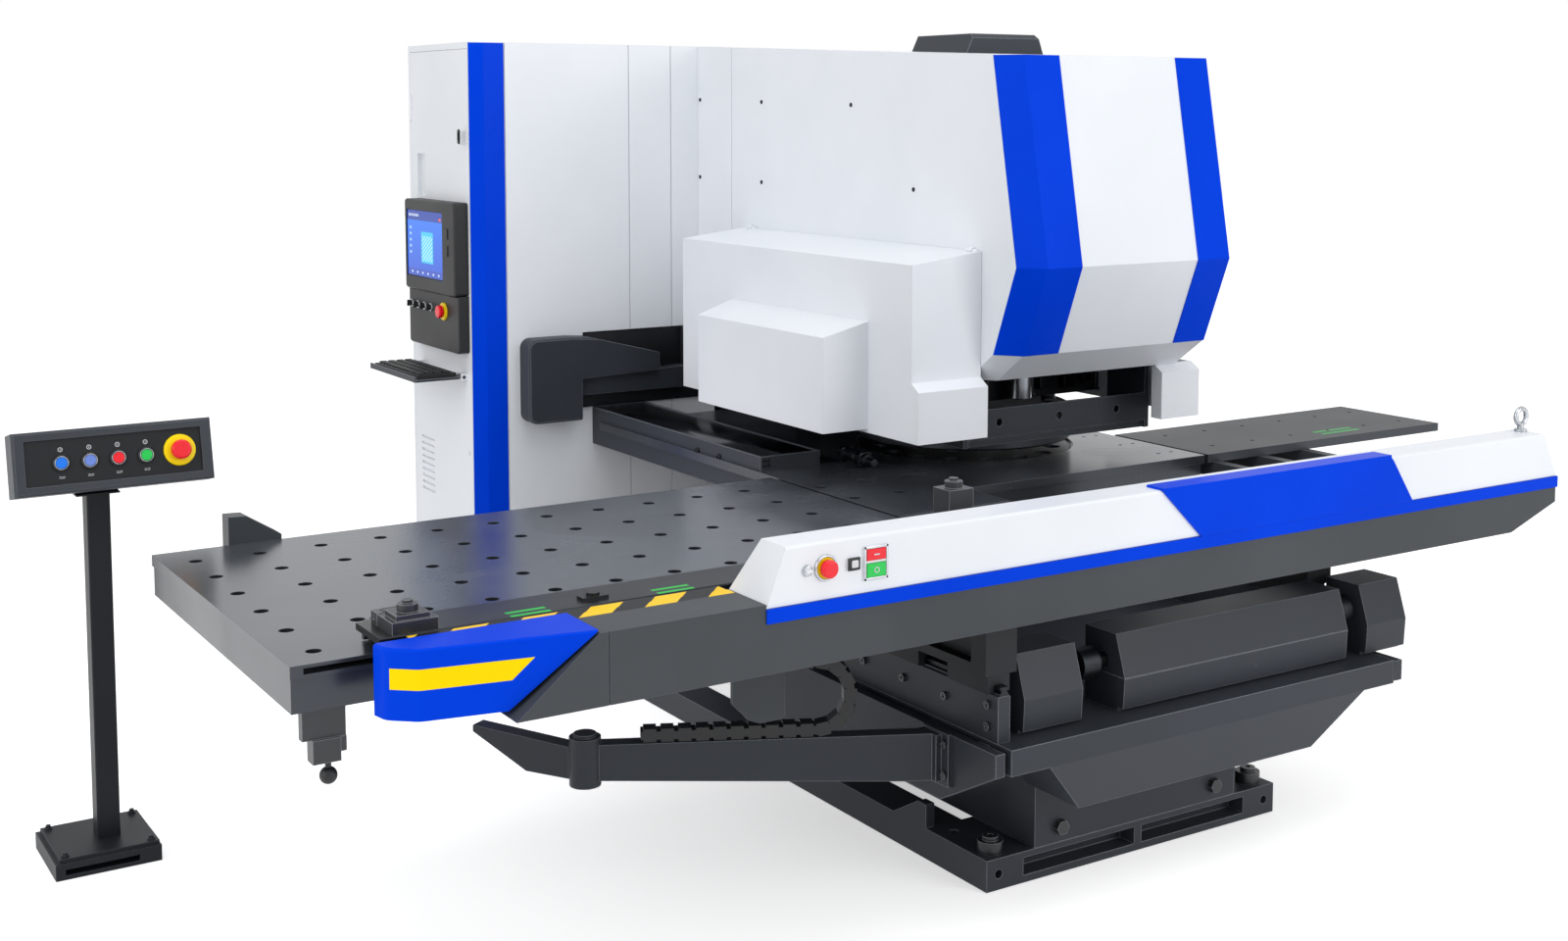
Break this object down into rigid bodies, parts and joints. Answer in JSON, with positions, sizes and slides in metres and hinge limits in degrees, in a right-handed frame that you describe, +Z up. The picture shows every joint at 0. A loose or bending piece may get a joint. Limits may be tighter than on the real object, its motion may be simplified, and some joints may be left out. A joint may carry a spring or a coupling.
{
  "type": "punching machine",
  "caption": "Turret punch press with a C-frame head, turrets and ram, a travelling cross beam with sheet clamps and tables, a control cabinet and a separate operator pedestal.",
  "frame": {"origin": "on the floor at the centre of the four anchor holes in the base frame", "axes": "+X along the cross beam to the right, +Y from the operator to the back, +Z up"},
  "size_m": [4.9985, 3.4965, 2.412],
  "materials": {
    "frame_paint": "satin",
    "beam_paint": "satin",
    "white_paint": "semi-gloss",
    "blue_paint": "gloss",
    "table_steel": "brushed",
    "bright_steel": "ground",
    "dark_steel": "blackened",
    "turret_iron": "machined",
    "black_plastic": "matte",
    "screen_plastic": "gloss",
    "red_plastic": "gloss",
    "green_plastic": "gloss",
    "blue_plastic": "gloss",
    "light_blue_plastic": "gloss"
  },
  "bodies": {
    "machine": {"base_frame": "frame_paint", "levelling_screws": "dark_steel", "saddle": "frame_paint", "y_bars": "frame_paint", "y_rails": "bright_steel", "drive_end_covers": "frame_paint", "drive_cover_lower": "frame_paint", "drive_cover_upper": "frame_paint", "cable_arm": "frame_paint", "energy_chain": "black_plastic", "frame_bolts": "dark_steel", "pedestal_base": "frame_paint", "pedestal_column": "frame_paint", "console_housing": "frame_paint", "cabinet_shell": "white_paint", "cabinet_trim": "blue_paint", "throat_cover": "frame_paint", "rail_box": "beam_paint", "centre_table": "table_steel", "press_frame": "frame_paint", "head_shell": "white_paint", "nose_stripes": "blue_paint", "roof_box": "frame_paint", "side_cover_right": "white_paint", "turret_guard": "frame_paint"},
    "door": {"cabinet_door": "white_paint", "display_bezel": "black_plastic", "display_screen": "screen_plastic", "switch_panel": "black_plastic"},
    "beam": {"beam_body": "beam_paint", "nose_cap": "blue_paint", "beam_cover": "white_paint", "beam_panel": "blue_paint", "x_rail": "bright_steel", "left_table": "table_steel", "right_table": "table_steel", "eyebolt": "bright_steel", "latch_bracket": "dark_steel", "y_carriers": "beam_paint"},
    "drive_shaft": {"drive_shaft": "dark_steel"},
    "tray": {"keyboard_tray": "frame_paint", "keyboard": "black_plastic"},
    "cabinet_stop": {"cabinet_estop": "red_plastic"},
    "side_cover": {"side_cover_left": "white_paint"},
    "turret_top": {"upper_turret": "turret_iron"},
    "turret_bottom": {"lower_turret": "turret_iron"},
    "ram_body": {"ram": "bright_steel"},
    "key_blue": {"console_button_blue": "blue_plastic"},
    "key_light": {"console_button_light": "light_blue_plastic"},
    "key_red": {"console_button_red": "red_plastic"},
    "key_green": {"console_button_green": "green_plastic"},
    "console_stop": {"console_estop": "red_plastic"},
    "latch": {"latch_knob": "black_plastic"},
    "beam_stop": {"beam_estop": "red_plastic"},
    "stop_key": {"stop_button": "red_plastic"},
    "start_key": {"start_button": "green_plastic"},
    "carriage": {"carriage_bar": "dark_steel", "clamp_bodies": "dark_steel"},
    "jaw_left": {"clamp_jaw_left": "dark_steel"},
    "jaw_right": {"clamp_jaw_right": "dark_steel"}
  },
  "joints": [
    {"name": "y_axis", "type": "slide", "parent": "machine", "child": "beam", "axis": [0, 1, 0], "range_m": [0, 0.6]},
    {"name": "drive_shaft_spin", "type": "hinge", "parent": "machine", "child": "drive_shaft", "pos_m": [0.15, -1.715, 0.64], "axis": [1, 0, 0], "continuous": true},
    {"name": "x_axis", "type": "slide", "parent": "beam", "child": "carriage", "axis": [1, 0, 0], "range_m": [0, 2]},
    {"name": "jaw_left_grip", "type": "hinge", "parent": "carriage", "child": "jaw_left", "pos_m": [-2.217, -1.538, 1.017], "axis": [1, 0, 0], "range_deg": [0, 12]},
    {"name": "jaw_right_grip", "type": "hinge", "parent": "carriage", "child": "jaw_right", "pos_m": [-0.69, -1.538, 1.017], "axis": [1, 0, 0], "range_deg": [0, 12]},
    {"name": "latch_pull", "type": "slide", "parent": "beam", "child": "latch", "axis": [0, 0, -1], "range_m": [0, 0.012], "stiffness_N_per_m": 800, "springref_m": -0.008},
    {"name": "upper_turret_turn", "type": "hinge", "parent": "machine", "child": "turret_top", "pos_m": [0.44, -0.2, 1.04], "axis": [0, 0, 1], "continuous": true},
    {"name": "lower_turret_turn", "type": "hinge", "parent": "machine", "child": "turret_bottom", "pos_m": [0.44, -0.2, 0.9], "axis": [0, 0, 1], "continuous": true},
    {"name": "ram_stroke", "type": "slide", "parent": "machine", "child": "ram_body", "axis": [0, 0, -1], "range_m": [0, 0.032]},
    {"name": "door_swing", "type": "hinge", "parent": "machine", "child": "door", "pos_m": [-0.969, 1.56, 1.2], "axis": [0, 0, 1], "range_deg": [-110, 0]},
    {"name": "tray_fold", "type": "hinge", "parent": "door", "child": "tray", "pos_m": [-0.985, 1.25, 1.1455], "axis": [0, 1, 0], "range_deg": [0, 50]},
    {"name": "cabinet_stop_push", "type": "slide", "parent": "door", "child": "cabinet_stop", "axis": [1, 0, 0], "range_m": [0, 0.005], "stiffness_N_per_m": 700, "springref_m": -0.003},
    {"name": "side_cover_lift", "type": "hinge", "parent": "machine", "child": "side_cover", "pos_m": [-0.009, -0.1, 1.701], "axis": [0, 1, 0], "range_deg": [0, 80]},
    {"name": "key_blue_push", "type": "slide", "parent": "machine", "child": "key_blue", "axis": [0, 0.9744, -0.225], "range_m": [0, 0.004], "stiffness_N_per_m": 500, "springref_m": -0.003},
    {"name": "key_light_push", "type": "slide", "parent": "machine", "child": "key_light", "axis": [0, 0.9744, -0.225], "range_m": [0, 0.004], "stiffness_N_per_m": 500, "springref_m": -0.003},
    {"name": "key_red_push", "type": "slide", "parent": "machine", "child": "key_red", "axis": [0, 0.9744, -0.225], "range_m": [0, 0.004], "stiffness_N_per_m": 500, "springref_m": -0.003},
    {"name": "key_green_push", "type": "slide", "parent": "machine", "child": "key_green", "axis": [0, 0.9744, -0.225], "range_m": [0, 0.004], "stiffness_N_per_m": 500, "springref_m": -0.003},
    {"name": "console_stop_push", "type": "slide", "parent": "machine", "child": "console_stop", "axis": [0, 0.9744, -0.225], "range_m": [0, 0.006], "stiffness_N_per_m": 700, "springref_m": -0.003},
    {"name": "beam_stop_push", "type": "slide", "parent": "beam", "child": "beam_stop", "axis": [0, 1, 0], "range_m": [0, 0.006], "stiffness_N_per_m": 700, "springref_m": -0.003},
    {"name": "stop_key_push", "type": "slide", "parent": "beam", "child": "stop_key", "axis": [0, 1, 0], "range_m": [0, 0.004], "stiffness_N_per_m": 500, "springref_m": -0.003},
    {"name": "start_key_push", "type": "slide", "parent": "beam", "child": "start_key", "axis": [0, 1, 0], "range_m": [0, 0.004], "stiffness_N_per_m": 500, "springref_m": -0.003}
  ],
  "couplings": [
    {"joint": "drive_shaft_spin", "follows": "y_axis", "rad_per_m": 20},
    {"joint": "lower_turret_turn", "follows": "upper_turret_turn", "ratio": 1}
  ]
}
